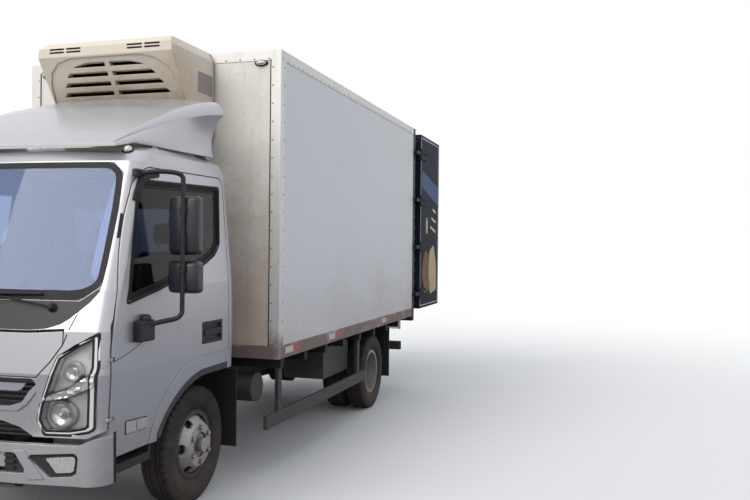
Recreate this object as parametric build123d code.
from build123d import *
import math
import os

os.makedirs("parts", exist_ok=True)

# Overall layout, x measured forward from the front axle, millimetres
WHEELBASE = 3360.0
TYRE_RADIUS = 382.5
AXLE_Z = TYRE_RADIUS
FRONT_WHEEL_Y = 735.0
REAR_INNER_Y = 685.0
REAR_OUTER_Y = 930.0
REAR_X = -WHEELBASE
BUMPER_FRONT_X = 1245.0

# Insulated box
BOX_FRONT_X = -715.0
BOX_REAR_X = -4825.0
BOX_HALF = 1100.0
BOX_BOTTOM_Z = 858.0
BOX_TOP_Z = 3146.0
WALL = 80.0
FLOOR_THICK = 90.0
RAIL_HIGH = 97.0
ROOF_RAIL_HIGH = 76.0
PANEL_RECESS = 3.0
SEAT_GAP = 0.3
REAR_FRAME_DEEP = 90.0
REAR_SILL_Z = 800.0

# Rear doors, standing open at a right angle
DOOR_THICK = 80.0
DOOR_FRAME_GAP = 8.0
REAR_PIN_OUT = 40.0
REAR_PIN_BEHIND = 10.0
REAR_DOOR_SIDE = 1075.0
REAR_CENTRE_GAP = 16.0
REAR_DOOR_Z = (930.0, 3105.0)
REAR_PIN_RADIUS = 9.0
PIN_CLEAR = 0.05
REAR_PIN_X = BOX_REAR_X - DOOR_FRAME_GAP - DOOR_THICK - REAR_PIN_BEHIND
REAR_PIN_Y = BOX_HALF + REAR_PIN_OUT
REAR_DOOR_REACH = REAR_PIN_Y - REAR_CENTRE_GAP / 2
REAR_END_X = REAR_PIN_X - REAR_DOOR_REACH
REAR_HINGE_Z = (1120.0, 1700.0, 2280.0, 2860.0)
HINGE_LUG = 20.0
STRAP_HALF = 60.0
STRAP_BOSS = 16.0
LOCK_BAR_Y = (120.0, 600.0)
LOCK_BAR_OUT = 22.0
LOCK_BAR_RADIUS = 13.0
LOCK_GUIDE_Z = (1010.0, 1450.0, 2560.0, 3020.0)
LOCK_LEVER_Z = 1300.0

# The origin is below the middle of the whole truck
OX = -(BUMPER_FRONT_X + REAR_END_X) / 2

# Cab skin, plan sections from the sill up
CAB_SECTIONS = (
    # height, front x, half width, rear x
    (540.0, 1150.0, 890.0, -420.0),
    (1000.0, 1185.0, 900.0, -420.0),
    (1230.0, 1165.0, 900.0, -420.0),
    (1450.0, 1100.0, 896.0, -420.0),
    (2180.0, 800.0, 835.0, -400.0),
    (2250.0, 700.0, 812.0, -370.0),
    (2290.0, 540.0, 750.0, -300.0),
)
CAB_BOW = 75.0
CAB_CORNER_X = 95.0
CAB_CORNER_Y = 70.0
CAB_REAR_CORNER = 80.0
CAB_WALL = 60.0
CAB_PILLAR = 45.0
FRONT_SKIN = 30.0
CAB_FLOOR_Z = 850.0
FLOOR_SHEET = 50.0
FIREWALL_X = 905.0
FIREWALL_SHEET = 25.0
TUNNEL_HALF = 450.0
FOOTWELL_Z = 560.0
FOOTWELL_SHEET = 40.0
COWL_Z = 1400.0
TILT_PIN_X = 1060.0
TILT_PIN_Z = 800.0
TILT_PIN_RADIUS = 14.0
PANEL_GAP = 6.0
LAMP_BACK_X = 1054.0
LAMP_DEPTH = 50.0
BOWL_DEPTH = 34.0
BOWL_SHEET = 4.0
COWL_SHEET = 4.0
LIP_PROUD = 7.0
INTAKE_LOW_Z = 661.0
FAIRING_SHEET = 22.0

# Cab doors
CAB_PIN_X = 1021.0
CAB_PIN_Y = 888.0
CAB_PIN_RADIUS = 4.5
CAB_HINGE_Z = (760.0, 1080.0)
CAB_LUG_HIGH = 18.0
HINGE_AXIAL = 1.5
GLASS = 5.0
FLARE_PROUD = 7.0
GLASS_DEPTH = 14.0
WINDOW_LIP = 12.0
MIRROR_X = 600.0
MIRROR_Y = 1055.0

# Service lid
LID_SKIN = 12.0
LID_PIN_X = 1082.0
LID_PIN_Z = 1340.0
LID_PIN_RADIUS = 6.0
LID_ARM_Y = 360.0
LID_ARM_WIDE = 12.0
BAY_FLOOR_Z = 900.0

# Steering and wheels
WHEEL_X, WHEEL_Y, WHEEL_Z = 500.0, 400.0, 1330.0
STEER_SHAFT = 10.0
KINGPIN_Y = 620.0
KINGPIN_RADIUS = 15.0
SPINDLE_RADIUS = 25.0
REAR_SPINDLE_RADIUS = 35.0
DISC_OFFSET = 122.0
WHEEL_NUTS = 6
WHEEL_HAND_HOLES = 6

# Chassis frame
RAIL_OUT_Y = 375.0
RAIL_FLANGE = 60.0
RAIL_TOP_Z = 720.0
RAIL_DEPTH = 170.0
RAIL_WEB = 6.0
RAIL_FLANGE_THICK = 7.0
RAIL_FRONT_X = 1110.0
HORN_TOP_Z = 600.0
HORN_LOW_Z = 500.0
RAIL_REAR_X = -4700.0
CHASSIS_CROSS_X = (560.0, -850.0, -1700.0, -2560.0, -3700.0, -4150.0, -4640.0)
CHEEK = 8.0
HANGER_TOP_Z = 660.0
TOW_HOLE = 20.0
TOW_BOSS = 38.0
FRONT_EYE = (1070.0, 398.0)
FRONT_EYE_Y = (335.0, 357.0)
REAR_EYE = (-4790.0, 620.0)
SPRING_Y = (312.0, 372.0)
REAR_SPRING_Y = (390.0, 450.0)
LEAF_COUNT = 4
LEAF_THICK = 11.0
EYE_R = 22.0
SHAFT_FRONT = (-778.0, 510.0)
SHAFT_REAR = (REAR_X + 278, AXLE_Z)
BEARER_FIRST_X = -900.0
BEARER_PITCH = 482.5
BEARER_COUNT = 8
BEARER_LOW_Z = 768.0
GUARD_Y = 1035.0
SPARE_X = -4150.0
SPARE_Z = 420.0
BUMPER_LOW_Z = 430.0
BUMPER_SHEET = 40.0

# Posts that carry the tilt pins, leaning back clear of the swinging front skin
TILT_HEAD = 28.0
TILT_POST_OUT_Y = 395.0
TILT_POST = ((1080, 780), (920, 620), (920, 560), (820, 560), (820, 620), (1040, 820))

# Refrigeration unit
REEFER_HALF = 547.0
REEFER_TOP_Z = 3150.0


def put(node, shape):
    """write one node, moved to the common origin"""
    export_step(Pos(OX, 0, 0) * shape, f"parts/{node}.step")


def block(x0, x1, y0, y1, z0, z1):
    """solid box between two corners"""
    middle = Pos((x0 + x1) / 2, (y0 + y1) / 2, (z0 + z1) / 2)
    return middle * Box(abs(x1 - x0), abs(y1 - y0), abs(z1 - z0))


def side_face(points, y, round_by=0.0):
    """flat outline seen from the side"""
    face = make_face(Polyline(*[(x, y, z) for x, z in points], close=True)).face()
    if round_by > 0:
        face = face.fillet_2d(round_by, face.vertices())
    return face


def front_face(points, x, round_by=0.0):
    """flat outline seen from the front"""
    face = make_face(Polyline(*[(x, y, z) for y, z in points], close=True)).face()
    if round_by > 0:
        face = face.fillet_2d(round_by, face.vertices())
    return face


def side_prism(points, y0, y1, round_by=0.0):
    """outline seen from the side, carried across from y0 to y1"""
    return extrude(side_face(points, y0, round_by), amount=y1 - y0, dir=(0, 1, 0))


def front_prism(points, x0, x1, round_by=0.0):
    """outline seen from the front, carried along from x0 to x1"""
    return extrude(front_face(points, x0, round_by), amount=x1 - x0, dir=(1, 0, 0))


def both(shape):
    """a left hand piece and its mirror image"""
    return shape + mirror(shape, about=Plane.XZ)


def right_of(shape):
    """mirror image of a left hand piece"""
    return mirror(shape, about=Plane.XZ)


def rod_y(x, z, radius, y0, y1):
    """round bar across the truck"""
    return Pos(x, (y0 + y1) / 2, z) * Rot(90, 0, 0) * Cylinder(radius, abs(y1 - y0))


def rod_x(y, z, radius, x0, x1):
    """round bar along the truck"""
    return Pos((x0 + x1) / 2, y, z) * Rot(0, 90, 0) * Cylinder(radius, abs(x1 - x0))


def rod_z(x, y, radius, z0, z1):
    """upright round bar"""
    return Pos(x, y, (z0 + z1) / 2) * Cylinder(radius, abs(z1 - z0))


def bent_rod(points, radius, bend):
    """round bar along straight runs with rounded corners"""
    path = FilletPolyline(*points, radius=bend)
    start = Plane(origin=path @ 0, z_dir=path % 0)
    return sweep(start * Circle(radius), path=path)


def cab_ring(height, front, half, rear, inset):
    """plan outline of the cab at one height, drawn in by the inset"""
    f = front - inset
    h = half - inset
    r = rear + inset
    cx = max(CAB_CORNER_X - inset, 20.0)
    cy = max(CAB_CORNER_Y - inset, 20.0)
    rc = max(CAB_REAR_CORNER - inset, 15.0)
    side_x = f - CAB_BOW - cx
    front_y = h - cy
    s = math.sqrt(0.5)
    left_front = (f - CAB_BOW, front_y, height)
    left_side = (side_x, h, height)
    left_rear = (r + rc, h, height)
    back_left = (r, h - rc, height)
    edges = [
        ThreePointArc(
            (f - CAB_BOW, -front_y, height), (f, 0, height), left_front
        ),
        ThreePointArc(
            left_front, (side_x + cx * s, front_y + cy * s, height), left_side
        ),
        Line(left_side, left_rear),
        ThreePointArc(
            left_rear, (r + rc - rc * s, h - rc + rc * s, height), back_left
        ),
        Line(back_left, (r, -(h - rc), height)),
        ThreePointArc(
            (r, -(h - rc), height),
            (r + rc - rc * s, -(h - rc + rc * s), height),
            (r + rc, -h, height),
        ),
        Line((r + rc, -h, height), (side_x, -h, height)),
        ThreePointArc(
            (side_x, -h, height),
            (side_x + cx * s, -(front_y + cy * s), height),
            (f - CAB_BOW, -front_y, height),
        ),
    ]
    return Face(Wire([e.edge() for e in edges]))


SKINS = {}


def cab_body(inset, low=540.0, high=2290.0):
    """solid following the cab skin at a depth below it, between two heights"""
    key = (inset, low, high)
    if key in SKINS:
        return SKINS[key]
    rows = []
    for a, b in zip(CAB_SECTIONS, CAB_SECTIONS[1:]):
        for row in (a, b):
            z = min(max(row[0], low), high)
            if b[0] <= low or a[0] >= high:
                continue
            t = (z - a[0]) / (b[0] - a[0])
            rows.append(tuple([z] + [a[i] + t * (b[i] - a[i]) for i in (1, 2, 3)]))
    heights = []
    kept = []
    for row in rows:
        if row[0] not in heights:
            heights.append(row[0])
            kept.append(row)
    rings = [cab_ring(*row, inset) for row in kept]
    SKINS[key] = loft(rings, ruled=True)
    return SKINS[key]


# Cab outlines
ARCH_DOOR = ((618.0, 545.0), (400.0, 768.0), (60.0, 892.0))
DOOR_REAR_X = -302.0
DOOR_SILL_Z = 545.0


def door_outline(y):
    """outline of the left cab door seen from the side"""
    run = [
        Line((ARCH_DOOR[0][0], y, ARCH_DOOR[0][1]), (1036, y, DOOR_SILL_Z)),
        Line((1036, y, DOOR_SILL_Z), (1034, y, 1130)),
        ThreePointArc((1034, y, 1130), (934, y, 1584), (771, y, 1995)),
        ThreePointArc((771, y, 1995), (700, y, 2100), (589, y, 2149)),
        Line((589, y, 2149), (-236, y, 2157)),
        ThreePointArc((-236, y, 2157), (-285, y, 2138), (DOOR_REAR_X, y, 2090)),
        Line((DOOR_REAR_X, y, 2090), (DOOR_REAR_X, y, 897)),
        Line((DOOR_REAR_X, y, 897), (ARCH_DOOR[2][0], y, ARCH_DOOR[2][1])),
        ThreePointArc(
            (ARCH_DOOR[2][0], y, ARCH_DOOR[2][1]),
            (ARCH_DOOR[1][0], y, ARCH_DOOR[1][1]),
            (ARCH_DOOR[0][0], y, ARCH_DOOR[0][1]),
        ),
    ]
    return Face(Wire([e.edge() for e in run]))


def flare_outline(y):
    """band along the wheel arch of the left cab door seen from the side"""
    run = [
        Line((ARCH_DOOR[0][0], y, ARCH_DOOR[0][1]), (668, y, DOOR_SILL_Z)),
        ThreePointArc((668, y, DOOR_SILL_Z), (445, y, 849), (88, y, 972)),
        Line((88, y, 972), (DOOR_REAR_X, y, 978)),
        Line((DOOR_REAR_X, y, 978), (DOOR_REAR_X, y, 897)),
        Line((DOOR_REAR_X, y, 897), (ARCH_DOOR[2][0], y, ARCH_DOOR[2][1])),
        ThreePointArc(
            (ARCH_DOOR[2][0], y, ARCH_DOOR[2][1]),
            (ARCH_DOOR[1][0], y, ARCH_DOOR[1][1]),
            (ARCH_DOOR[0][0], y, ARCH_DOOR[0][1]),
        ),
    ]
    return Face(Wire([e.edge() for e in run]))


def across(face, width):
    """carry a side outline across"""
    return extrude(face, amount=width, dir=(0, 1, 0))


def arch_cut(y0, y1):
    """space below the wheel arch and the cab floor"""
    run = [
        Line((575, y0, 0), (575, y0, 560)),
        ThreePointArc((575, y0, 560), (365, y0, 735), (50, y0, CAB_FLOOR_Z)),
        Line((50, y0, CAB_FLOOR_Z), (-600, y0, CAB_FLOOR_Z)),
        Line((-600, y0, CAB_FLOOR_Z), (-600, y0, 0)),
        Line((-600, y0, 0), (575, y0, 0)),
    ]
    return across(Face(Wire([e.edge() for e in run])), y1 - y0)


WINDOW = (
    (886, 1378), (430, 1473), (20, 1580), (-125, 1640),
    (-195, 1705), (-236, 2085), (716, 2062),
)
WINDSCREEN = (
    (-715, 1392), (715, 1392), (822, 1470), (820, 1600), (800, 1900),
    (772, 2110), (700, 2172), (-700, 2172), (-772, 2110), (-800, 1900),
    (-820, 1600), (-822, 1470),
)
LID = (
    (-655, 1230), (-455, 1217), (455, 1217), (655, 1230), (655, 1160),
    (585, 1062), (512, 985), (-512, 985), (-585, 1062), (-655, 1160),
)
LID_OPENING = (
    (-661, 1244), (-455, 1231), (455, 1231), (661, 1244), (661, 1157),
    (590, 1058), (515, 979), (-515, 979), (-590, 1058), (-661, 1157),
)
LAMP = (
    (632, 1098), (758, 1174), (862, 1232), (868, 1043), (858, 991),
    (850, 873), (840, 711), (805, 690), (696, 669), (545, 667),
    (508, 751), (528, 834), (586, 982),
)
LAMP_GLASS = (
    (640, 1090), (752, 1160), (836, 1203), (840, 1043), (822, 985), (815, 873), (804, 724),
    (780, 707), (690, 690), (554, 688), (519, 753), (538, 832), (596, 974),
)
LAMP_BAND = (
    (500, 838), (690, 876), (900, 968), (900, 1052), (800, 1002), (690, 930), (500, 862),
)
LAMP_BOWLS = (
    # sideways, up, radius, deepest x
    (710, 1014, 52, 1086),
    (645, 785, 72, 1082),
)
COWL = (
    (-455, 1234), (455, 1234), (552, 1242), (631, 1266), (681, 1299), (728, 1341), (775, 1384),
    (817, 1440), (819, 1464), (716, 1389), (-716, 1389), (-819, 1464), (-817, 1440), (-775, 1384),
    (-728, 1341), (-681, 1299), (-631, 1266), (-552, 1242),
)
GRILLE = (
    (-490, 975), (490, 975), (515, 945), (470, 905), (425, 845), (345, 820),
    (-345, 820), (-425, 845), (-470, 905), (-515, 945),
)
GRILLE_LIP = (
    (-400, 797), (400, 797), (460, 838), (512, 900), (500, 912), (452, 864), (425, 845), (345, 820),
    (-345, 820), (-425, 845), (-452, 864), (-500, 912), (-512, 900), (-460, 838),
)
INTAKE = (
    (-486, 640), (-478, 664), (-407, 708), (-300, 738), (300, 738), (407, 708), (478, 664), (486, 640),
)

outer = cab_body(0.0)


def front_patch(points, near, far, grow=0.0, start=300.0):
    """piece of the front skin inside an outline"""
    face = front_face(points, start)
    if grow != 0.0:
        face = offset(face, amount=grow, kind=Kind.INTERSECTION)
    prism = extrude(face, amount=1000, dir=(1, 0, 0))
    return cab_body(near) & prism - cab_body(far)


# Room for the front edge of the opening cab door
DOOR_EDGE_RELIEF = (
    (1000, 500), (1045, 500), (1045, 1130), (1041, 1160), (1039, 1190), (1037, 1250), (1030, 1270),
    (1020, 1290), (1013, 1310), (1006, 1340), (1000, 1365),
)

# Hollow of the cab
low_hollow = cab_body(CAB_WALL, CAB_FLOOR_Z + FLOOR_SHEET, COWL_Z + 20)
low_hollow = low_hollow & block(-500, FIREWALL_X, -1000, 1000, 0, 3000)
high_hollow = cab_body(CAB_PILLAR, COWL_Z + 19, 2240.0)
high_hollow = high_hollow & block(-360, 2000, -1000, 1000, 0, 3000)
hollow = low_hollow + high_hollow
footwell = block(
    610, FIREWALL_X, TUNNEL_HALF + 30, 840, FOOTWELL_Z + FOOTWELL_SHEET, CAB_FLOOR_Z + 60
)
apron_void = cab_body(FRONT_SKIN, 540.0, BAY_FLOOR_Z - FLOOR_SHEET)
apron_void = apron_void & block(
    FIREWALL_X + FIREWALL_SHEET, 2000, -800, 800, 500, BAY_FLOOR_Z - FLOOR_SHEET
)
bay = cab_body(FRONT_SKIN, BAY_FLOOR_Z, COWL_Z - 20)
bay = bay & block(FIREWALL_X + FIREWALL_SHEET, 2000, -700, 700, 0, 3000)
chin = front_prism(
    ((-1000, 0), (1000, 0), (1000, 702), (884, 702), (785, 658), (-785, 658),
     (-884, 702), (-1000, 702)),
    1040, 1400,
)
chin = chin + block(FIREWALL_X + FIREWALL_SHEET, 1041, -TUNNEL_HALF, TUNNEL_HALF, 0, 660)
tunnel = block(-600, FIREWALL_X + FIREWALL_SHEET + 1, -TUNNEL_HALF, TUNNEL_HALF, 0, CAB_FLOOR_Z)

cab = outer - arch_cut(-1000, 1000) - chin - tunnel
cab = cab - hollow - footwell - right_of(footwell) - apron_void - bay

# Door openings and the doors
door_face = door_outline(700.0)
door_prism = across(door_face, 400)
opening_prism = across(offset(door_face, amount=PANEL_GAP, kind=Kind.INTERSECTION), 400)
opening_prism = opening_prism + side_prism(DOOR_EDGE_RELIEF, 700, 1100)
below_door = block(624 - PANEL_GAP, DOOR_EDGE_RELIEF[1][0], 824, 1100, 400, 600)
cab = cab - opening_prism - right_of(opening_prism) - below_door - right_of(below_door)

door = (outer & door_prism) - cab_body(CAB_WALL)
door = door + (across(flare_outline(700.0), 400) & (cab_body(-FLARE_PROUD) - cab_body(1.0)))
window_face = side_face(WINDOW, 700.0, 20.0)
pane_face = offset(window_face, amount=WINDOW_LIP)
rebate_face = offset(window_face, amount=WINDOW_LIP + SEAT_GAP)
door = door - across(window_face, 400)
door = door - (across(rebate_face, 400) & cab_body(GLASS_DEPTH))
door_glass = across(pane_face, 400) & (
    cab_body(GLASS_DEPTH + SEAT_GAP) - cab_body(GLASS_DEPTH + SEAT_GAP + GLASS)
)

# Door hinges: lugs and pins on the cab, bored knuckles on the door
for z in CAB_HINGE_Z:
    half = CAB_LUG_HIGH / 2
    lug = block(CAB_PIN_X, 1062, CAB_PIN_Y - 9, CAB_PIN_Y + 9, z - half, z + half)
    lug = lug + rod_z(CAB_PIN_X, CAB_PIN_Y, 9.0, z - half, z + half)
    pin = rod_z(CAB_PIN_X, CAB_PIN_Y, CAB_PIN_RADIUS - PIN_CLEAR, z - half - 30, z + half + 30)
    notch = block(
        CAB_PIN_X - 16, 1100, CAB_PIN_Y - 60, CAB_PIN_Y + 40,
        z - half - HINGE_AXIAL, z + half + HINGE_AXIAL,
    )
    hole = rod_z(CAB_PIN_X, CAB_PIN_Y, CAB_PIN_RADIUS, z - half - 34, z + half + 34)
    cab = cab + both(lug + pin)
    door = door - notch - hole

# Front of the cab: windscreen, lid, lamps and grille
glass_in = front_patch(WINDSCREEN, 0.0, GLASS, -1.0)
rebate = front_patch(WINDSCREEN, -10.0, GLASS + SEAT_GAP)
through = front_patch(WINDSCREEN, -10.0, 200.0, -26.0)
cab = cab - rebate - through
rear_window = block(-480, -330, -430, 430, 1600, 1960)
cab = cab - rear_window
rear_glass = block(-408, -403, -430 + SEAT_GAP, 430 - SEAT_GAP, 1600 + SEAT_GAP, 1960 - SEAT_GAP)

cab = cab - front_patch(LID_OPENING, -10.0, 120.0)
hinge_pocket = cab_body(LID_SKIN, BAY_FLOOR_Z, COWL_Z - 20) & block(1000, 1200, 338, 396, 1235, 1372)
cab = cab - both(hinge_pocket)
lid = front_patch(LID, 0.0, LID_SKIN)
lamp_hole = front_patch(LAMP, -10.0, 90.0, 1.0, LAMP_BACK_X - 1)
cab = cab - lamp_hole - right_of(lamp_hole)
lamp_body = front_patch(LAMP, 0.0, 62.0, 0.0, LAMP_BACK_X)
lamp_body = lamp_body - front_patch(LAMP_GLASS, -5.0, 6.0, SEAT_GAP)
lamp_floor = LAMP_BACK_X + 8
lamp_body = lamp_body - front_patch(LAMP_GLASS, -5.0, LAMP_DEPTH, -8.0, lamp_floor)
lamp_body = lamp_body + (
    front_patch(LAMP_GLASS, 12.0, LAMP_DEPTH, -7.0, lamp_floor - 1) & front_prism(LAMP_BAND, 1000, 1300)
)
lens = front_patch(LAMP_GLASS, 0.0, 5.7)
bowls = None
bowl_room = front_patch(LAMP_GLASS, 15.0, LAMP_DEPTH - SEAT_GAP, -8.0 - SEAT_GAP, lamp_floor + SEAT_GAP)
for y, z, radius, deepest in LAMP_BOWLS:
    bowl = rod_x(y, z, radius, lamp_floor + SEAT_GAP, 1300) & bowl_room
    inner = radius - BOWL_SHEET
    cavity = Pos(deepest + BOWL_DEPTH, y, z) * Rot(0, 90, 0) * scale(Sphere(1), by=(inner, inner, BOWL_DEPTH))
    bowl = bowl - cavity - rod_x(y, z, inner, deepest + BOWL_DEPTH, 1300)
    bowl = bowl - front_prism(LAMP_BAND, 1000, 1300)
    bowls = bowl if bowls is None else bowls + bowl
grille_hole = front_patch(GRILLE, -10.0, 60.0)
intake_hole = front_patch(INTAKE, -10.0, 60.0)
cab = cab - grille_hole - intake_hole
cab = cab + front_patch(GRILLE_LIP, -LIP_PROUD, 1.0)
cab = cab - front_patch(COWL, -10.0, COWL_SHEET)

# Lid hinge arms and their brackets under the cowl
arm_out = (
    (1076, 1352), (946, 1314), (946, 1120), (1155, 1120), (1155, 1148),
    (972, 1148), (972, 1290), (1080, 1328),
)
arm = side_prism(arm_out, LID_ARM_Y - LID_ARM_WIDE / 2, LID_ARM_Y + LID_ARM_WIDE / 2)
arm = arm + rod_y(LID_PIN_X, LID_PIN_Z, 13.0, LID_ARM_Y - 6, LID_ARM_Y + 6)
arm = arm & cab_body(LID_SKIN - 2)
arm = arm - rod_y(LID_PIN_X, LID_PIN_Z, LID_PIN_RADIUS, 0, 900)
lid = lid + both(arm)
bracket = block(LID_PIN_X - 14, LID_PIN_X + 10, 376, 384, LID_PIN_Z - 12, COWL_Z - 10)
bracket = bracket + rod_y(
    LID_PIN_X, LID_PIN_Z, LID_PIN_RADIUS - PIN_CLEAR, LID_ARM_Y - 12, 380
)
cab = cab + both(bracket)

# Tilt eyes under the cab
eye = block(TILT_PIN_X - 30, TILT_PIN_X + 30, 404, 424, TILT_PIN_Z, BAY_FLOOR_Z - 20)
eye = eye + rod_y(TILT_PIN_X, TILT_PIN_Z, 30.0, 404, 424)
eye = eye - rod_y(TILT_PIN_X, TILT_PIN_Z, TILT_PIN_RADIUS, 300, 500)
cab = cab + both(eye)

put("cab_shell", cab)
put("windscreen", glass_in + rear_glass)
put("headlamp_housings", both(lamp_body))
put("headlamp_lenses", both(lens))
put("headlamp_bowls", both(bowls))
put("cowl_panel", front_patch(COWL, 0.0, COWL_SHEET - SEAT_GAP, -SEAT_GAP))
put("front_lid", lid)

grille_back = front_patch(GRILLE, 34.0, 42.0, -SEAT_GAP)
grille = grille_back
for z in (840.0, 868.0, 896.0, 924.0):
    slat = front_prism(((-600, z), (600, z), (600, z + 12), (-600, z + 12)), 900, 1300)
    grille = grille + (front_patch(GRILLE, 6.0, 36.0, -SEAT_GAP) & slat)
light_bar = front_prism(((-600, 950), (600, 950), (600, 974), (-600, 974)), 900, 1300)
grille = grille + (front_patch(GRILLE, 0.0, 36.0, -SEAT_GAP) & light_bar)
intake = front_patch(INTAKE, 34.0, 42.0, -SEAT_GAP)
for z in (INTAKE_LOW_Z, 686.0, 712.0):
    slat = front_prism(((-600, z), (600, z), (600, z + 10), (-600, z + 10)), 900, 1300)
    intake = intake + (front_patch(INTAKE, 8.0, 36.0, -SEAT_GAP) & slat)
intake = intake - block(900, 1300, -600, 600, 500, INTAKE_LOW_Z)
put("grille", grille + intake)

# Roof fairing
FAIRING = (
    # x, bottom z, bottom half, waist half, top edge half, top edge z, crown z
    (720.0, 2268.0, 690.0, 690.0, 660.0, 2286.0, 2292.0),
    (560.0, 2304.0, 712.0, 712.0, 682.0, 2372.0, 2388.0),
    (420.0, 2304.0, 735.0, 735.0, 700.0, 2440.0, 2462.0),
    (100.0, 2304.0, 760.0, 775.0, 760.0, 2590.0, 2625.0),
    (-140.0, 2304.0, 780.0, 800.0, 820.0, 2670.0, 2725.0),
    (-300.0, 2304.0, 790.0, 815.0, 850.0, 2700.0, 2762.0),
)


def fairing_ring(x, bottom, low_half, waist, top_half, edge_z, crown_z, inset, drop):
    """one upright section of the roof fairing"""
    b = bottom - drop
    lh = low_half - inset
    th = top_half - inset
    w = waist - inset
    e = edge_z - inset
    c = crown_z - inset
    zm = (b + e) / 2
    cut = (e - b) * 0.25
    run = [
        Line((x, -lh, b), (x, lh, b)),
        ThreePointArc((x, lh, b), (x, w - (e - b) * 0.05, zm), (x, th, e - cut)),
        ThreePointArc(
            (x, th, e - cut), (x, th - cut * 0.25, e - cut * 0.25), (x, th - cut, e)
        ),
        ThreePointArc((x, th - cut, e), (x, 0, c), (x, -(th - cut), e)),
        ThreePointArc(
            (x, -(th - cut), e), (x, -(th - cut * 0.25), e - cut * 0.25), (x, -th, e - cut)
        ),
        ThreePointArc((x, -th, e - cut), (x, -(w - (e - b) * 0.05), zm), (x, -lh, b)),
    ]
    return Face(Wire([r.edge() for r in run]))


fairing = loft([fairing_ring(*row, 0.0, 0.0) for row in FAIRING], ruled=True)
core = loft([fairing_ring(*row, FAIRING_SHEET, 10.0) for row in FAIRING[1:]], ruled=True)
last = FAIRING[-1]
tail = loft(
    [
        fairing_ring(*last, FAIRING_SHEET, 10.0),
        fairing_ring(*((last[0] - 60,) + last[1:]), FAIRING_SHEET, 10.0),
    ],
    ruled=True,
)
fairing = fairing - core - tail
tail_arc = [
    ThreePointArc((-300, -850, 2250), (-110, 0, 2250), (-300, 850, 2250)),
    Line((-300, 850, 2250), (-300, 950, 2250)),
    Line((-300, 950, 2250), (-600, 950, 2250)),
    Line((-600, 950, 2250), (-600, -950, 2250)),
    Line((-600, -950, 2250), (-300, -950, 2250)),
    Line((-300, -950, 2250), (-300, -850, 2250)),
]
fairing = fairing - extrude(Face(Wire([e.edge() for e in tail_arc])), amount=700, dir=(0, 0, 1))
for x, y0, y1 in ((-225.0, 690.0, 772.0), (360.0, 660.0, 726.0)):
    fairing = fairing + both(block(x - 30, x + 30, y0, y1, 2290, 2330))
put("roof_fairing", fairing)

# Cab inside
dash = side_prism(
    ((FIREWALL_X - SEAT_GAP, 1090), (FIREWALL_X - SEAT_GAP, 1392), (760, 1392), (640, 1340),
     (600, 1250), (610, 1130)),
    -795, 795,
)
column_dir = Vector(-0.5, 0, math.sqrt(0.75))
column_plane = Plane(origin=(WHEEL_X, WHEEL_Y, WHEEL_Z), z_dir=column_dir, x_dir=(0, 1, 0))
column = column_plane * Pos(0, 0, -200) * Cylinder(28, 300)
shaft = column_plane * Pos(0, 0, -25) * Cylinder(STEER_SHAFT - PIN_CLEAR, 70)
put("dashboard", dash + column + shaft)
hub = column_plane * Pos(0, 0, -15) * Cylinder(45, 50)
hub = hub - column_plane * Pos(0, 0, -25) * Cylinder(STEER_SHAFT, 72)
rim = column_plane * Torus(205, 14)
spokes = column_plane * Pos(0, 0, -4) * Box(400, 36, 16)
steering = rim + spokes + hub
put("steering_wheel", steering - column_plane * Pos(0, 0, -25) * Cylinder(STEER_SHAFT, 72))


def seat(y0, y1):
    """one seat with cushion and back"""
    base = block(-230, 200, y0 + 30, y1 - 30, CAB_FLOOR_Z + FLOOR_SHEET, 1030)
    cushion = side_prism(
        ((-250, 1030), (230, 1030), (250, 1080), (220, 1160), (-200, 1130)), y0, y1, 12.0
    )
    back = side_prism(
        ((-250, 1100), (-140, 1130), (-200, 1500), (-240, 1690), (-320, 1690), (-330, 1500)),
        y0, y1, 12.0,
    )
    head = side_prism(
        ((-250, 1680), (-235, 1860), (-310, 1870), (-325, 1680)),
        (y0 + y1) / 2 - 120, (y0 + y1) / 2 + 120, 12.0,
    )
    return base + cushion + back + head


put("seats", seat(170, 680) + seat(-700, -260) + seat(-250, 150))

# Door furniture and mirrors
handle_recess = block(-215, 65, 880, 1000, 1050, 1195)
handle_plate = (outer & block(-212, 62, 880, 1000, 1053, 1192)) - cab_body(28.0)
door = door - (handle_recess - cab_body(29.0))
grip = block(-185, 35, 880, 905, 1105, 1145)
pull = handle_plate - block(-190, 40, 885, 1000, 1070, 1175) + grip
put("door_left", door)
put("door_right", right_of(door))
put("door_glass_left", door_glass)
put("door_glass_right", right_of(door_glass))

arm_points = (
    (735, 820, 2095), (690, 900, 2120), (MIRROR_X, MIRROR_Y, 2110), (MIRROR_X, MIRROR_Y, 1290),
    (760, 905, 1250),
)
tube = bent_rod(arm_points, 13.0, 45.0)
foot_low = block(700, 830, 899, 925, 1185, 1300)
foot_top = block(700, 770, 838, 868, 2085, 2125)
heads = block(MIRROR_X - 20, MIRROR_X + 60, MIRROR_Y - 85, MIRROR_Y + 85, 1650, 1980)
heads = heads + block(MIRROR_X - 20, MIRROR_X + 60, MIRROR_Y - 90, MIRROR_Y + 90, 1410, 1590)
heads = fillet(heads.edges(), 30)
mirrors = tube + foot_low + foot_top + heads
mirrors = mirrors - cab_body(-SEAT_GAP)
put("mirror_left", mirrors)
put("mirror_right", right_of(mirrors))
put("door_handle_left", pull)
put("door_handle_right", right_of(pull))


# Wheels
def turned(points, y):
    """ring turned about the axle line from (offset, radius) pairs"""
    face = make_face(
        Polyline(*[(r, y + o, 0) for o, r in points], close=True)
    ).face()
    return revolve(face, axis=Axis((0, 0, 0), (0, 1, 0)), revolution_arc=360)


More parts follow.
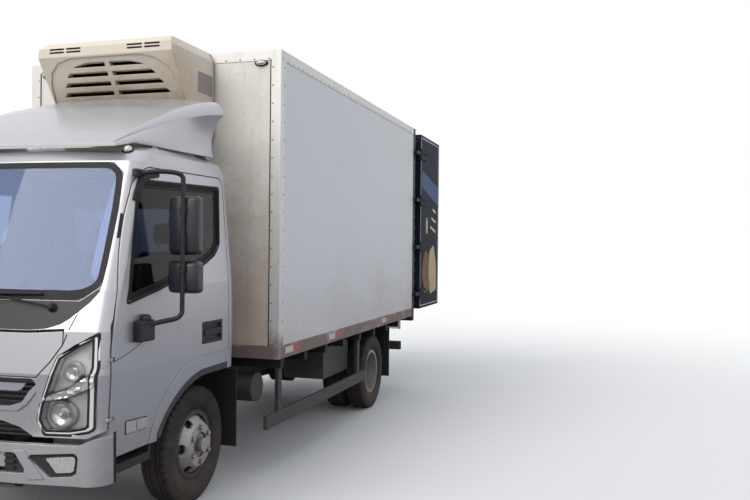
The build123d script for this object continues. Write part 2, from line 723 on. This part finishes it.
TYRE_PROFILE = (
    (69.0, 203.3), (69.0, 226.0), (90.0, 250.0), (100.0, 300.0), (97.0, 340.0), (78.0, 378.0),
    (60.0, TYRE_RADIUS), (-60.0, TYRE_RADIUS), (-78.0, 378.0), (-97.0, 340.0), (-100.0, 300.0),
    (-90.0, 250.0), (-69.0, 226.0), (-69.0, 203.3),
)
BARREL = (
    (-76.0, 196.0), (-76.0, 224.0), (-70.0, 224.0), (-70.0, 203.0), (70.0, 203.0),
    (70.0, 224.0), (76.0, 224.0), (76.0, 196.0),
)
DISC = (
    (110.0, 82.0), (DISC_OFFSET, 82.0), (DISC_OFFSET, 138.0), (52.0, 197.0), (38.0, 197.0),
    (110.0, 132.0),
)


def pressed_wheel(y, side):
    """rim with its dished disc, side 1 dishes outward, -1 inward"""
    wheel = turned(BARREL, y) + turned([(side * o, r) for o, r in DISC], y)
    for i in range(WHEEL_HAND_HOLES):
        angle = 360.0 / WHEEL_HAND_HOLES * i + 30
        cut = Rot(0, angle, 0) * Pos(0, y + side * 85, 168) * Rot(90, 0, 0)
        cut = cut * extrude(SlotCenterToCenter(30, 34), amount=60, both=True)
        wheel = wheel - cut
    return wheel


def nut_ring(y0, y1):
    """wheel nuts on their circle"""
    ring = None
    for i in range(WHEEL_NUTS):
        nut = Rot(0, 360.0 / WHEEL_NUTS * i, 0) * Pos(0, (y0 + y1) / 2, 111) * Rot(90, 0, 0)
        nut = nut * extrude(RegularPolygon(16, 6), amount=(y1 - y0) / 2, both=True)
        ring = nut if ring is None else ring + nut
    return ring


def at_axle(shape, x):
    """move a wheel piece from the axle line to its axle"""
    return Pos(x, 0, AXLE_Z) * shape


front_tyre = at_axle(turned(TYRE_PROFILE, FRONT_WHEEL_Y), 0)
hub_y = FRONT_WHEEL_Y + 110
front_hub = rod_y(0, 0, 60, 712, hub_y) + rod_y(0, 0, 128, hub_y - 14, hub_y)
drum = turned(((-23, 142), (-23, 150), (55, 150), (55, 55), (47, 55), (47, 142)), FRONT_WHEEL_Y)
front_hub = front_hub + drum + rod_y(0, 0, 44, hub_y, hub_y + 46)
front_rim = pressed_wheel(FRONT_WHEEL_Y, 1) + front_hub
front_rim = front_rim + nut_ring(FRONT_WHEEL_Y + DISC_OFFSET, FRONT_WHEEL_Y + DISC_OFFSET + 18)
front_rim = front_rim - rod_y(0, 0, SPINDLE_RADIUS, 600, hub_y - 20)
front_rim = at_axle(front_rim, 0)
put("front_tyre_left", front_tyre)
put("front_tyre_right", right_of(front_tyre))
put("front_rim_left", front_rim)
put("front_rim_right", right_of(front_rim))

rear_tyres = turned(TYRE_PROFILE, REAR_INNER_Y) + turned(TYRE_PROFILE, REAR_OUTER_Y)
rear_tyres = at_axle(rear_tyres, REAR_X)
mate_y = REAR_INNER_Y + DISC_OFFSET
rear_hub = rod_y(0, 0, 75, 606, mate_y + 90) + rod_y(0, 0, 128, mate_y - 28, mate_y - 12)
rear_drum = turned(
    ((-75, 150), (-75, 160), (45, 160), (45, 60), (35, 60), (35, 150)), REAR_INNER_Y
)
rear_hub = rear_hub + rear_drum
rear_rims = pressed_wheel(REAR_INNER_Y, 1) + pressed_wheel(REAR_INNER_Y + 2 * DISC_OFFSET, -1)
rear_rims = rear_rims + rear_hub
rear_rims = rear_rims + nut_ring(mate_y + 12, mate_y + 34)
rear_rims = rear_rims - rod_y(0, 0, REAR_SPINDLE_RADIUS, 500, mate_y + 60)
rear_rims = at_axle(rear_rims, REAR_X)
put("rear_tyres_left", rear_tyres)
put("rear_tyres_right", right_of(rear_tyres))
put("rear_rims_left", rear_rims)
put("rear_rims_right", right_of(rear_rims))

# Knuckles and axles
knuckle = block(-40, 40, 664, 698, AXLE_Z - 72, AXLE_Z + 72)
for z0, z1 in ((AXLE_Z + 39, AXLE_Z + 72), (AXLE_Z - 72, AXLE_Z - 39)):
    knuckle = knuckle + block(-34, 34, KINGPIN_Y, 670, z0, z1)
    knuckle = knuckle + rod_z(0, KINGPIN_Y, 34, z0, z1)
knuckle = knuckle + at_axle(rod_y(0, 0, 140, 696, 704), 0)
knuckle = knuckle + at_axle(rod_y(0, 0, SPINDLE_RADIUS - PIN_CLEAR, 690, hub_y - 30), 0)
knuckle = knuckle - rod_z(0, KINGPIN_Y, KINGPIN_RADIUS, 200, 600)
steer_arm = block(-170, -20, 664, 690, AXLE_Z - 66, AXLE_Z - 44)
knuckle = knuckle + steer_arm
put("knuckle_left", knuckle)
put("knuckle_right", right_of(knuckle))

beam_half = front_prism(
    ((0, 285), (470, 285), (560, 346), (600, 346), (600, 420), (560, 420), (450, 355), (0, 355)),
    -36, 36,
)
beam_half = beam_half + rod_z(0, KINGPIN_Y, 34, AXLE_Z - 37.5, AXLE_Z + 37.5)
beam_half = beam_half + rod_z(0, KINGPIN_Y, KINGPIN_RADIUS - PIN_CLEAR, AXLE_Z - 70, AXLE_Z + 70)
pad = block(-60, 60, SPRING_Y[0], SPRING_Y[1], 354, 378)
put("front_axle", both(beam_half + pad))

tube_r = 52.0
rear_axle = rod_y(REAR_X, AXLE_Z, tube_r, -566, 566)
rear_axle = rear_axle + rod_y(REAR_X, AXLE_Z, 155, -110, 110)
rear_axle = rear_axle + Pos(REAR_X, 0, AXLE_Z) * Sphere(150)
rear_axle = rear_axle + rod_x(0, AXLE_Z, 70, REAR_X, REAR_X + 260)
rear_half = rod_y(REAR_X, AXLE_Z, REAR_SPINDLE_RADIUS - PIN_CLEAR, 560, mate_y + 50)
rear_half = rear_half + rod_y(REAR_X, AXLE_Z, 140, 566, 578)
rear_half = rear_half + block(REAR_X - 60, REAR_X + 60, REAR_SPRING_Y[0], REAR_SPRING_Y[1], AXLE_Z, 446)
put("rear_axle", rear_axle + both(rear_half))


def leaf_spring(x, half, z_mid, z_end, y0, y1, leaves, thick):
    """stack of leaves bowed up at the ends"""
    stack = None
    for i in range(leaves):
        h = half * (1 - 0.22 * i)
        lift = (z_end - z_mid) * (h / half) ** 2
        z = z_mid + (leaves - 1 - i) * thick
        run = [
            ThreePointArc((x - h, y0, z + lift), (x, y0, z), (x + h, y0, z + lift)),
            Line((x + h, y0, z + lift), (x + h, y0, z + lift + thick)),
            ThreePointArc(
                (x + h, y0, z + lift + thick), (x, y0, z + thick), (x - h, y0, z + lift + thick)
            ),
            Line((x - h, y0, z + lift + thick), (x - h, y0, z + lift)),
        ]
        leaf = across(Face(Wire([r.edge() for r in run])), y1 - y0)
        stack = leaf if stack is None else stack + leaf
    return stack


springs = None
HANGERS = []
for x, half, z_mid, z_end, span in (
    (0.0, 560.0, 378.0, 440.0, SPRING_Y),
    (REAR_X, 620.0, 446.0, 520.0, REAR_SPRING_Y),
):
    part = leaf_spring(x, half, z_mid, z_end, span[0], span[1], LEAF_COUNT, LEAF_THICK)
    top = z_end + LEAF_COUNT * LEAF_THICK
    for end in (-1, 1):
        ex = x + end * half
        part = part + rod_y(ex, top - 14, EYE_R, span[0], span[1])
        HANGERS.append((ex, top - 14, span))
    clamp = block(x - 55, x + 55, span[0], span[1], z_mid, z_mid + 56)
    part = part + clamp
    springs = both(part) if springs is None else springs + both(part)
put("leaf_springs", springs)

# Ladder frame
rail_low = RAIL_TOP_Z - RAIL_DEPTH
rail_side = (
    (RAIL_REAR_X, RAIL_TOP_Z), (850, RAIL_TOP_Z), (950, HORN_TOP_Z), (RAIL_FRONT_X, HORN_TOP_Z),
    (RAIL_FRONT_X, HORN_LOW_Z), (900, HORN_LOW_Z), (780, rail_low), (RAIL_REAR_X, rail_low),
)
rail = side_prism(rail_side, RAIL_OUT_Y - RAIL_FLANGE, RAIL_OUT_Y)
t = RAIL_FLANGE_THICK
rail_in = (
    (RAIL_REAR_X - 10, RAIL_TOP_Z - t), (846, RAIL_TOP_Z - t), (946, HORN_TOP_Z - t),
    (RAIL_FRONT_X + 10, HORN_TOP_Z - t), (RAIL_FRONT_X + 10, HORN_LOW_Z + t), (902, HORN_LOW_Z + t),
    (782, rail_low + t), (RAIL_REAR_X - 10, rail_low + t),
)
rail = rail - side_prism(rail_in, RAIL_OUT_Y - RAIL_FLANGE - 10, RAIL_OUT_Y - RAIL_WEB)
tilt_post = side_prism(TILT_POST, RAIL_OUT_Y - 3, TILT_POST_OUT_Y)
tilt_post = tilt_post + rod_y(TILT_PIN_X, TILT_PIN_Z, TILT_HEAD, RAIL_OUT_Y - 3, TILT_POST_OUT_Y)
tilt_post = tilt_post + rod_y(TILT_PIN_X, TILT_PIN_Z, TILT_PIN_RADIUS - PIN_CLEAR, 380, 430)
front_eye = block(
    FRONT_EYE[0] - TOW_BOSS, FRONT_EYE[0] + TOW_BOSS, *FRONT_EYE_Y, FRONT_EYE[1], HORN_LOW_Z + 5
)
front_eye = front_eye + rod_y(FRONT_EYE[0], FRONT_EYE[1], TOW_BOSS, *FRONT_EYE_Y)
front_eye = front_eye - rod_y(FRONT_EYE[0], FRONT_EYE[1], TOW_HOLE, 300, 400)
frame = both(rail + tilt_post + front_eye)

# Cross members inside the channels, the last with the rear tow eye, and the spring hangers
cross_y = RAIL_OUT_Y - RAIL_WEB - SEAT_GAP
for x in CHASSIS_CROSS_X:
    cross = block(x - 35, x + 35, -cross_y, cross_y, rail_low + 20, RAIL_TOP_Z - 30)
    if x == CHASSIS_CROSS_X[-1]:
        cross = cross + block(x - 20, REAR_EYE[0], -11, 11, REAR_EYE[1] - TOW_BOSS, REAR_EYE[1] + TOW_BOSS)
        cross = cross + rod_y(REAR_EYE[0], REAR_EYE[1], TOW_BOSS, -11, 11)
        cross = cross - rod_y(REAR_EYE[0], REAR_EYE[1], TOW_HOLE, -60, 60)
    frame = frame + cross
frame = frame + block(1040, 1100, -cross_y, cross_y, HORN_LOW_Z + 20, HORN_TOP_Z - 10)
for ex, ez, span in HANGERS:
    hang_low = ez + EYE_R + SEAT_GAP
    hang_top = rail_low - SEAT_GAP
    inner = span[0] - CHEEK - 1
    if span[1] > RAIL_OUT_Y:
        hang_top = HANGER_TOP_Z
        inner = RAIL_OUT_Y + SEAT_GAP
    hang = block(ex - 34, ex + 34, inner, span[1] + CHEEK + 1, hang_low, hang_top)
    for y0 in (span[0] - CHEEK - 1, span[1] + 1):
        hang = hang + block(ex - 26, ex + 26, y0, y0 + CHEEK, ez - 26, ez + EYE_R + 20)
    frame = frame + both(hang)
put("frame_rails", frame)

# Engine, shaft, tanks and exhaust
engine = block(-260, 480, -215, 215, 440, 820) + block(-760, -250, -150, 150, 430, 660)
engine = engine + block(-60, 60, -cross_y, cross_y, 565, 640)
put("engine_block", engine)
shaft_len = math.dist(SHAFT_FRONT, SHAFT_REAR)
shaft_plane = Plane(
    origin=((SHAFT_FRONT[0] + SHAFT_REAR[0]) / 2, 0, (SHAFT_FRONT[1] + SHAFT_REAR[1]) / 2),
    z_dir=(SHAFT_FRONT[0] - SHAFT_REAR[0], 0, SHAFT_FRONT[1] - SHAFT_REAR[1]),
    x_dir=(0, 1, 0),
)
propeller = shaft_plane * Cylinder(38, shaft_len)
propeller = propeller + rod_x(0, SHAFT_FRONT[1], 48, SHAFT_FRONT[0] - 12, -760 - SEAT_GAP)
propeller = propeller + rod_x(0, AXLE_Z, 48, REAR_X + 260 + SEAT_GAP, SHAFT_REAR[0] + 12)
put("propeller_shaft", propeller)
tank = side_prism(((-1900, 420), (-1000, 420), (-1000, 690), (-1900, 690)), -850, -430, 30.0)
for x in (-1700.0, -1200.0):
    tank = tank + block(x - 25, x + 25, -440, -RAIL_OUT_Y - SEAT_GAP, 560, 700)
put("fuel_tank", tank)
battery = block(-2950, -2250, 480, 880, 460, 750)
for x in (-2820.0, -2380.0):
    battery = battery + block(x - 25, x + 25, RAIL_OUT_Y + SEAT_GAP, 490, 580, 700)
put("battery_box", battery)
silencer = rod_x(-600, 530, 105, -2900, -2250)
silencer = silencer + block(-2600, -2560, -600, -RAIL_OUT_Y - SEAT_GAP, 560, 700)
pipe = bent_rod(((-2260, -600, 530), (-2080, -600, 530), (-2080, -470, 480), (-2000, -400, 480)), 30, 40)
put("exhaust", silencer + pipe)
canister = rod_y(-860, 620, 110, 470, 860)
canister = canister + block(-890, -830, RAIL_OUT_Y + SEAT_GAP, 480, 580, 690)
put("air_canister", canister)

# Spare wheel under the tail
spare_place = Pos(SPARE_X, 0, SPARE_Z) * Rot(90, 0, 0)
put("spare_tyre", spare_place * turned(TYRE_PROFILE, 0))
carrier = rod_z(SPARE_X, 0, 110, SPARE_Z + DISC_OFFSET - 1, SPARE_Z + DISC_OFFSET + 8)
carrier = carrier + rod_z(SPARE_X, 0, 20, SPARE_Z + DISC_OFFSET + 7, rail_low + 20 - SEAT_GAP)
put("spare_rim", spare_place * pressed_wheel(0, 1) + carrier)

# Box
x_in = BOX_FRONT_X - WALL
x_back = BOX_REAR_X + REAR_FRAME_DEEP
y_in = BOX_HALF - WALL
z_floor = BOX_BOTTOM_Z + FLOOR_THICK
z_roof = BOX_TOP_Z - ROOF_RAIL_HIGH
z_rail = BOX_BOTTOM_Z + RAIL_HIGH
cage = both(block(x_back, BOX_FRONT_X, y_in, BOX_HALF, BOX_BOTTOM_Z, z_rail))
cage = cage + both(block(x_back, BOX_FRONT_X, y_in, BOX_HALF, z_roof, BOX_TOP_Z))
cage = cage + both(block(x_in, BOX_FRONT_X, y_in, BOX_HALF, BOX_BOTTOM_Z, BOX_TOP_Z))
cage = cage + block(x_in, BOX_FRONT_X, -BOX_HALF, BOX_HALF, BOX_BOTTOM_Z, z_rail)
cage = cage + block(x_in, BOX_FRONT_X, -BOX_HALF, BOX_HALF, z_roof, BOX_TOP_Z)
put("box_edge_rails", cage)
g = SEAT_GAP
side = block(x_back + g, x_in - g, y_in + g, BOX_HALF - PANEL_RECESS, z_rail + g, z_roof - g)
put("box_side_left", side)
put("box_side_right", right_of(side))
across_box = (-y_in + g, y_in - g)
along_box = (x_back + g, x_in - g)
put("box_front_wall", block(x_in + g, BOX_FRONT_X - PANEL_RECESS, *across_box, z_rail + g, z_roof - g))
put("box_floor", block(*along_box, *across_box, BOX_BOTTOM_Z, z_floor))
put("box_roof", block(*along_box, *across_box, z_roof - 4, BOX_TOP_Z - PANEL_RECESS))

# Rear frame of the box with hinge brackets and pins
portal = block(BOX_REAR_X, x_back - g, -BOX_HALF, BOX_HALF, REAR_SILL_Z, BOX_TOP_Z)
portal = portal - block(BOX_REAR_X - 1, x_back + 1, -y_in, y_in, z_floor, z_roof - 10)
for z in REAR_HINGE_Z:
    lug = block(REAR_PIN_X, BOX_REAR_X + 60, BOX_HALF - 2, REAR_PIN_Y + 6, z - HINGE_LUG, z + HINGE_LUG)
    lug = lug - block(REAR_PIN_X - 60, BOX_REAR_X, 0, REAR_PIN_Y - 16, z - 40, z + 40)
    lug = lug + rod_z(REAR_PIN_X, REAR_PIN_Y, STRAP_BOSS, z - HINGE_LUG, z + HINGE_LUG)
    pin = rod_z(REAR_PIN_X, REAR_PIN_Y, REAR_PIN_RADIUS - PIN_CLEAR, z - 62, z + 62)
    portal = portal + both(lug + pin)
put("box_rear_frame", portal)


def lock_bar(x, y):
    """lock bar on a rear door with its guides and cams"""
    bar = rod_z(x - LOCK_BAR_OUT, y, LOCK_BAR_RADIUS, REAR_DOOR_Z[0] + 8, REAR_DOOR_Z[1] - 8)
    for z in LOCK_GUIDE_Z:
        bar = bar + block(x - LOCK_BAR_OUT - 16, x + 1, y - 24, y + 24, z - 22, z + 22)
    return bar


def rear_door(locked):
    """left rear door drawn closed, hinge straps wrapped to the pin line, lock bars where it has them"""
    x1 = BOX_REAR_X - DOOR_FRAME_GAP
    x0 = x1 - DOOR_THICK
    leaf = block(x0, x1, REAR_CENTRE_GAP / 2, REAR_DOOR_SIDE, REAR_DOOR_Z[0], REAR_DOOR_Z[1])
    for z in REAR_HINGE_Z:
        clear = HINGE_LUG + HINGE_AXIAL
        for low, high in ((z - STRAP_HALF, z - clear), (z + clear, z + STRAP_HALF)):
            strap = block(x0 - 10, x0, 760, REAR_PIN_Y, low, high)
            strap = strap + rod_z(REAR_PIN_X, REAR_PIN_Y, STRAP_BOSS, low, high)
            leaf = leaf + strap - rod_z(REAR_PIN_X, REAR_PIN_Y, REAR_PIN_RADIUS, low - 1, high + 1)
    if locked:
        for y in LOCK_BAR_Y:
            leaf = leaf + lock_bar(x0, y)
        y, z = LOCK_BAR_Y[0], LOCK_LEVER_Z
        leaf = leaf + block(x0 - 46, x0 - 30, y, y + 330, z - 14, z + 14)
        leaf = leaf + block(x0 - 40, x0 + 1, y + 250, y + 290, z - 26, z + 26)
    return leaf


def swing_open(shape):
    """turn the left rear door from closed to a right angle"""
    hinge = Axis((REAR_PIN_X, REAR_PIN_Y, 0), (0, 0, 1))
    return shape.rotate(hinge, -90)


put("rear_door_left", swing_open(rear_door(False)))
put("rear_door_right", right_of(swing_open(rear_door(True))))

# Bearers, guards, flaps, underrun and lamps
bearers = None
for i in range(BEARER_COUNT):
    x = BEARER_FIRST_X - i * BEARER_PITCH
    bar = block(x - 30, x + 30, -1050, 1050, BEARER_LOW_Z, BOX_BOTTOM_Z)
    bearers = bar if bearers is None else bearers + bar
sub = block(x_back, BOX_FRONT_X, RAIL_OUT_Y - RAIL_FLANGE, RAIL_OUT_Y, RAIL_TOP_Z, 790)
bearers = bearers + both(sub)
put("box_bearers", bearers)
guard = block(-2940, -600, GUARD_Y, GUARD_Y + 30, 360, 455)
post_y = GUARD_Y - SEAT_GAP
for i in (0, 4):
    x = BEARER_FIRST_X - i * BEARER_PITCH
    guard = guard + block(x - 30, x + 30, post_y - 32, post_y, 360, BEARER_LOW_Z - SEAT_GAP)

underrun = block(-4800, -4740, -950, 950, 440, 540)
stay = block(-4740 + SEAT_GAP, RAIL_REAR_X - SEAT_GAP, RAIL_OUT_Y - 57, RAIL_OUT_Y - 3, 440, 715)
underrun = underrun + both(stay)
put("guard_rails", both(guard) + underrun)
flaps = block(-442, -432, 560, 900, 270, 820) + block(-442, -412, RAIL_OUT_Y + SEAT_GAP, 700, 640, 670)
rear_flap = block(-3905, -3895, 570, 1050, 250, 800)
rear_flap = rear_flap + block(-3905, -3865, RAIL_OUT_Y + SEAT_GAP, 640, 640, 680)
put("mudguards", both(flaps + rear_flap))

# Front bumper with lamps and steps
FOG_RECESS = ((500, 583), (775, 603), (799, 583), (789, 499), (764, 481), (640, 470))
FOG_LENS = ((604, 572), (765, 588), (781, 574), (773, 508), (755, 496), (672, 489))
SLANT_BAR = ((425, 604), (496, 608), (612, 462), (524, 455))
BAR_PROUD = 6.0


def bumper_plan(z, inset):
    """plan outline of the bumper, wrapped round the corners"""
    f = BUMPER_FRONT_X - inset
    h = 930.0 - inset
    a = (f - 70, -790.0, z)
    b = (f - 70, 790.0, z)
    run = [
        ThreePointArc(a, (f, 0, z), b),
        ThreePointArc(b, (f - 102, h - 34, z), (1045, h, z)),
        Line((1045, h, z), (1000, h, z)),
        Line((1000, h, z), (1000, -h, z)),
        Line((1000, -h, z), (1045, -h, z)),
        ThreePointArc((1045, -h, z), (f - 102, -(h - 34), z), a),
    ]
    return Face(Wire([r.edge() for r in run]))


def bumper_skin(outside, inside, low, high):
    """shell following the bumper between two depths and two heights"""
    skin = extrude(bumper_plan(low, outside), amount=high - low, dir=(0, 0, 1))
    return skin - extrude(bumper_plan(low - 10, inside), amount=high - low + 20, dir=(0, 0, 1))


bumper = bumper_skin(0, BUMPER_SHEET, BUMPER_LOW_Z, 680)
bumper = bumper - block(900, 1045, -1000, 1000, 300, 800)
top_cut = front_prism(
    ((-1100, 800), (-1100, 682), (-890, 682), (-790, 640), (790, 640), (890, 682), (1100, 682),
     (1100, 800)),
    900, 1400,
)
bumper = bumper - top_cut
mouth = front_prism(((-520, 485), (-445, 592), (445, 592), (520, 485)), 1000, 1400, 20.0)
fog = front_prism(FOG_RECESS, 1050, 1400, 14.0)
bumper = bumper + both(bumper_skin(-BAR_PROUD, 5, 440, 620) & front_prism(SLANT_BAR, 1050, 1400))
bumper = bumper - mouth - fog - right_of(fog)
horn_link = block(RAIL_FRONT_X + SEAT_GAP, 1215, 330, 370, HORN_LOW_Z + 8, HORN_TOP_Z - 8)
bumper = bumper + both(horn_link & extrude(bumper_plan(400, 20), amount=400, dir=(0, 0, 1)))
put("front_bumper", bumper)
insert = bumper_skin(24, 34, 480, 620) & front_prism(
    ((-519, 486), (-445, 591), (445, 591), (519, 486)), 1000, 1400, 19.0
)
for z in (508.0, 540.0, 572.0):
    insert = insert + (bumper_skin(10, 30, z - 6, z + 6) & block(1000, 1400, -430, 430, 480, 620))
insert = insert - both(block(1000, 1400, 329.5, 370.5, 400, 700))
fog_lamp = bumper_skin(10, 36, 460, 620) & front_prism(FOG_LENS, 1050, 1400, 12.0)
fog_frame = bumper_skin(18, 38, 460, 620) & extrude(
    offset(front_face(FOG_RECESS, 1050, 14.0), amount=-SEAT_GAP), amount=350, dir=(1, 0, 0)
)
fog_frame = fog_frame - front_prism(FOG_LENS, 1000, 1450, 12.0)
put("bumper_insert", insert + both(fog_frame))
tail_lamp = block(-4800, -4740, 640, 940, 690, 799.7)
put("lamps", both(fog_lamp) + both(tail_lamp))
step = block(650, 1030, 700, 895, 455, 535) - block(670, 1010, 740, 900, 500, 540)
step = step + block(800, 840, RAIL_OUT_Y + SEAT_GAP, 710, 480, 530)
put("cab_steps", both(step))

# Refrigeration unit on the front wall
reefer_side = (
    (BOX_FRONT_X + SEAT_GAP, 2500), (-480, 2500), (-330, 2700), (-120, 3035),
    (-120, 3100), (-190, REEFER_TOP_Z), (BOX_FRONT_X + SEAT_GAP, REEFER_TOP_Z),
)
reefer = side_prism(reefer_side, -REEFER_HALF, REEFER_HALF)
reefer = reefer & front_prism(
    ((-547, 2500), (-547, 3080), (-500, 3160), (500, 3160), (547, 3080), (547, 2500)), -800, 0
)
reefer_in = (
    (-650, 2560), (-500, 2560), (-370, 2720), (-165, 3045), (-200, 3110), (-650, 3110),
)
reefer = reefer - side_prism(reefer_in, -510, 510)
REEFER_ARCH = (
    (-537, 2400), (-537, 2760), (-520, 2860), (-480, 2940), (-400, 2998), (-290, 3024), (290, 3024),
    (400, 2998), (480, 2940), (520, 2860), (537, 2760), (537, 2400),
)
face_recess = side_prism(((-480, 2490), (-336, 2704), (-126, 3039), (0, 3200), (0, 2490)), -540, 540)
reefer = reefer - (face_recess & front_prism(REEFER_ARCH, -800, 0))
REEFER_SLOTS = (
    # low z, high z, inner y, outer y, slant of the outer end
    (2780.0, 2808.0, 20.0, 440.0, 30.0),
    (2842.0, 2870.0, 20.0, 410.0, 30.0),
    (2904.0, 2932.0, 20.0, 365.0, 30.0),
    (2964.0, 2992.0, 20.0, 290.0, 120.0),
    (3062.0, 3074.0, 190.0, 310.0, 0.0),
    (3062.0, 3074.0, 330.0, 450.0, 0.0),
    (3085.0, 3097.0, 190.0, 310.0, 0.0),
    (3085.0, 3097.0, 330.0, 450.0, 0.0),
)
for low, high, inner, end, slant in REEFER_SLOTS:
    slot = ((inner, low), (end, low), (end - slant * 0.2, low + 9), (end - slant, high), (inner, high))
    reefer = reefer - both(front_prism(slot, -420, -60))
put("reefer_housing", reefer)
evap = block(x_in - 450, x_in - g, -600, 600, 2800, z_roof - 5)
put("evaporator", evap)
